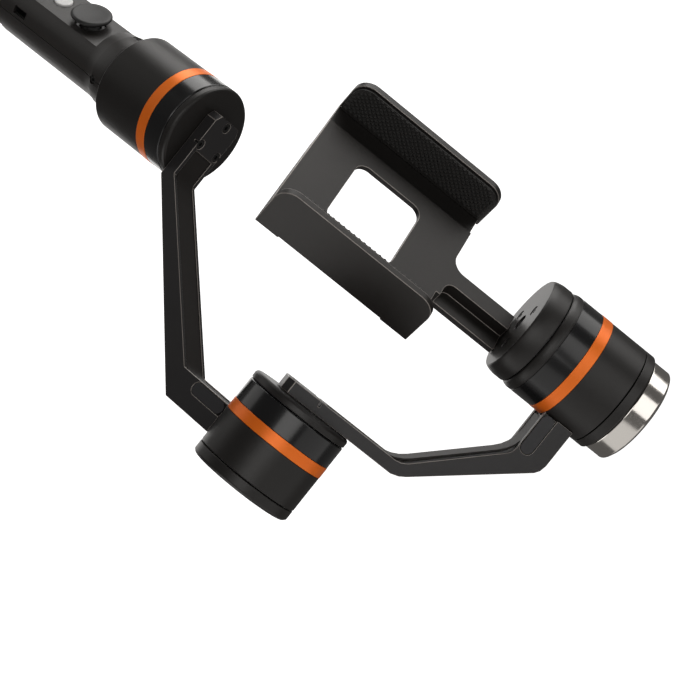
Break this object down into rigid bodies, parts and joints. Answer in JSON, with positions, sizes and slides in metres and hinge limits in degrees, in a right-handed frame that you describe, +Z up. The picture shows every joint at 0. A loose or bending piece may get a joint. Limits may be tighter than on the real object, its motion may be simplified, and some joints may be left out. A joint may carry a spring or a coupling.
{
  "type": "camera gimbal",
  "caption": "Handheld gimbal for a phone: handle with a joystick, motors for pan, roll and tilt joined by bent arms, and a sprung sliding clamp.",
  "frame": {"origin": "centre of the flat bottom face of the handle's end cap", "axes": "+Z up the handle along the pan axis; the control panel with the joystick faces -Y; +X completes the frame"},
  "size_m": [0.1556, 0.1289, 0.4243],
  "materials": {
    "black_aluminium": "satin black anodised",
    "black_plastic": "matte moulded black",
    "cover_black": "smooth dark cover strip",
    "black_rubber": "matte rubber",
    "orange_anodised": "orange anodised",
    "chrome": "polished",
    "steel": "plain steel",
    "dark_steel": "blackened steel",
    "winding": "laminated iron with enamelled windings",
    "magnet_steel": "nickel plated",
    "white_plastic": "white",
    "board": "green solder mask",
    "cell": "sleeved cell"
  },
  "bodies": {
    "handle": {"grip_tube": "black_rubber", "grip_ring": "dark_steel", "battery_cell": "cell", "battery_contact": "steel", "head_back_shell": "black_aluminium", "head_front_shell": "black_aluminium", "control_board": "board", "usb_port": "dark_steel", "collar_screw_1": "dark_steel", "collar_screw_2": "dark_steel", "pan_motor_housing": "black_aluminium", "pan_motor_ring": "orange_anodised", "pan_stator": "winding", "pan_bearing": "steel"},
    "pan_arm": {"pan_cap": "black_aluminium", "pan_rotor": "magnet_steel", "pan_shaft": "steel", "arm_1": "black_aluminium", "arm_1_cable_cover": "cover_black", "arm_1_side_inlay": "cover_black", "arm_1_screw_1": "dark_steel", "arm_1_screw_2": "dark_steel", "arm_1_screw_3": "dark_steel", "roll_motor_housing": "black_aluminium", "roll_motor_ring": "orange_anodised", "roll_stator": "winding", "roll_bearing": "steel", "roll_end_cover": "black_aluminium"},
    "roll_arm": {"roll_cap": "black_aluminium", "roll_rotor": "magnet_steel", "roll_shaft": "steel", "arm_2": "black_aluminium", "arm_2_cable_cover": "cover_black", "arm_2_side_inlay": "cover_black", "arm_2_screw_1": "dark_steel", "arm_2_screw_2": "dark_steel", "arm_2_screw_3": "dark_steel", "tilt_motor_housing": "black_aluminium", "tilt_motor_ring": "orange_anodised", "tilt_stator": "winding", "tilt_bearing": "steel", "tilt_end_cover": "black_aluminium", "counterweight": "chrome"},
    "clamp": {"tilt_cap": "black_aluminium", "tilt_rotor": "magnet_steel", "tilt_shaft": "steel", "tilt_cap_screw_1": "dark_steel", "tilt_cap_screw_2": "dark_steel", "tilt_cap_screw_3": "dark_steel", "clamp_bracket": "black_aluminium", "clamp_back_cover": "black_plastic", "fixed_jaw_pad": "black_rubber", "jaw_spring": "steel"},
    "jaw": {"sliding_jaw": "black_aluminium", "sliding_jaw_pad": "black_rubber"},
    "joystick_gimbal": {"joystick_cradle": "dark_steel"},
    "joystick": {"joystick_cap": "black_plastic"},
    "button": {"power_button": "white_plastic"},
    "cap_ring": {"cap_seal": "black_rubber"},
    "end_cap": {"battery_cap": "black_aluminium"}
  },
  "joints": [
    {"name": "pan_spin", "type": "hinge", "parent": "handle", "child": "pan_arm", "pos_m": [0, 0, 0.33], "axis": [0, 0, 1], "continuous": true},
    {"name": "roll_spin", "type": "hinge", "parent": "pan_arm", "child": "roll_arm", "pos_m": [0, 0, 0.33], "axis": [-0.7022, -0.712, 0], "range_deg": [-160, 160]},
    {"name": "tilt_spin", "type": "hinge", "parent": "roll_arm", "child": "clamp", "pos_m": [-0.01236, -0.01253, 0.33], "axis": [-0.4185, 0.4127, 0.809], "range_deg": [-160, 160]},
    {"name": "jaw_slide", "type": "slide", "parent": "clamp", "child": "jaw", "axis": [-0.9072, -0.149, -0.3933], "range_m": [0, 0.018], "stiffness_N_per_m": 250, "springref_m": -0.012},
    {"name": "joystick_nod", "type": "hinge", "parent": "handle", "child": "joystick_gimbal", "pos_m": [0, -0.0094, 0.1412], "axis": [1, 0, 0], "range_deg": [-10, 10], "stiffness_Nm_per_rad": 0.02},
    {"name": "joystick_swing", "type": "hinge", "parent": "joystick_gimbal", "child": "joystick", "pos_m": [0, -0.0094, 0.1412], "axis": [0, 0, 1], "range_deg": [-10, 10], "stiffness_Nm_per_rad": 0.02},
    {"name": "power_press", "type": "slide", "parent": "handle", "child": "button", "axis": [0, 1, 0], "range_m": [0, 0.0008], "stiffness_N_per_m": 500, "springref_m": -0.0006},
    {"name": "cap_travel", "type": "slide", "parent": "handle", "child": "cap_ring", "axis": [0, 0, -1], "range_m": [0, 0.008]},
    {"name": "cap_turn", "type": "hinge", "parent": "cap_ring", "child": "end_cap", "pos_m": [0, 0, 0.006], "axis": [0, 0, 1], "range_deg": [0, 1440]}
  ],
  "couplings": [
    {"joint": "cap_travel", "follows": "cap_turn", "m_per_rad": 0.00031831}
  ]
}
